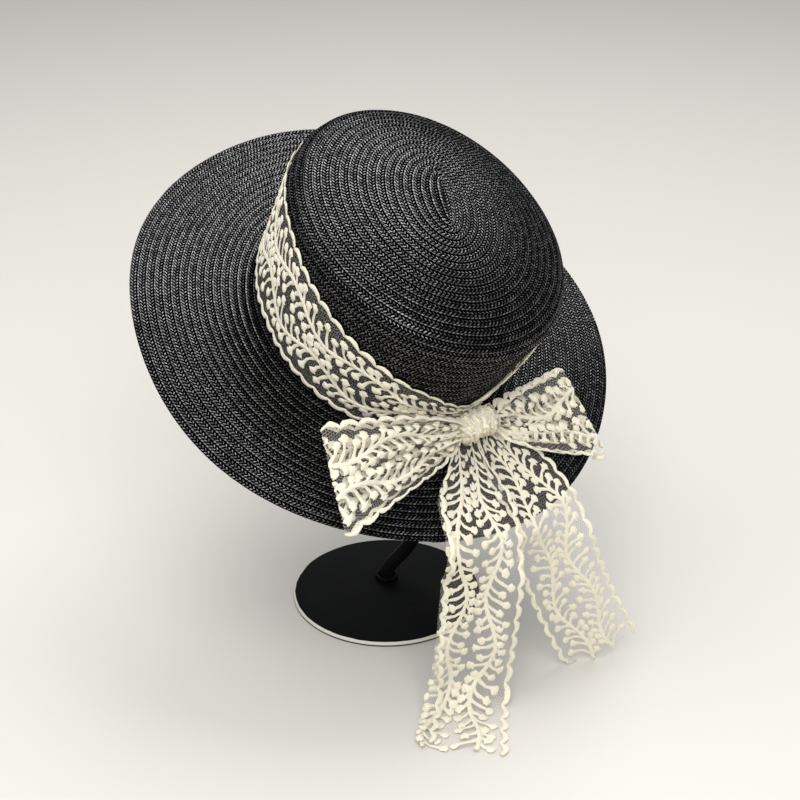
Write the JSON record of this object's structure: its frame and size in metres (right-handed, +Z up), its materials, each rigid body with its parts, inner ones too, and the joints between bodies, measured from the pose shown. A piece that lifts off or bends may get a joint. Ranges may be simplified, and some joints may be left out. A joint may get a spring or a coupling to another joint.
{
  "type": "flat top straw hat on a display stand",
  "caption": "Flat-topped straw hat with a wide brim, a lace band and a lace bow with hanging tails, leaning on a plain round stand.",
  "frame": {"origin": "middle of the stand's foot, on the surface that the stand rests on", "axes": "+Z up; the bow and its tails are on the -Y side, +X is to the right seen from there"},
  "size_m": [0.3452, 0.3669, 0.3447],
  "materials": {
    "black_straw": "sewn spiral of black paper-straw braid with a faint sheen",
    "cream_lace": "cream embroidered net with scalloped, corded edges",
    "black_painted_metal": "satin black paint, worn pale along the foot's edge"
  },
  "bodies": {
    "root": {"crown": "black_straw", "brim": "black_straw", "band": "cream_lace", "bow_knot": "cream_lace", "bow_loop_left": "cream_lace", "bow_loop_right": "cream_lace", "tail_left": "cream_lace", "tail_right": "cream_lace", "stand_base": "black_painted_metal", "stand_collar": "black_painted_metal", "stand_stem": "black_painted_metal", "stand_head": "black_painted_metal"}
  },
  "joints": []
}
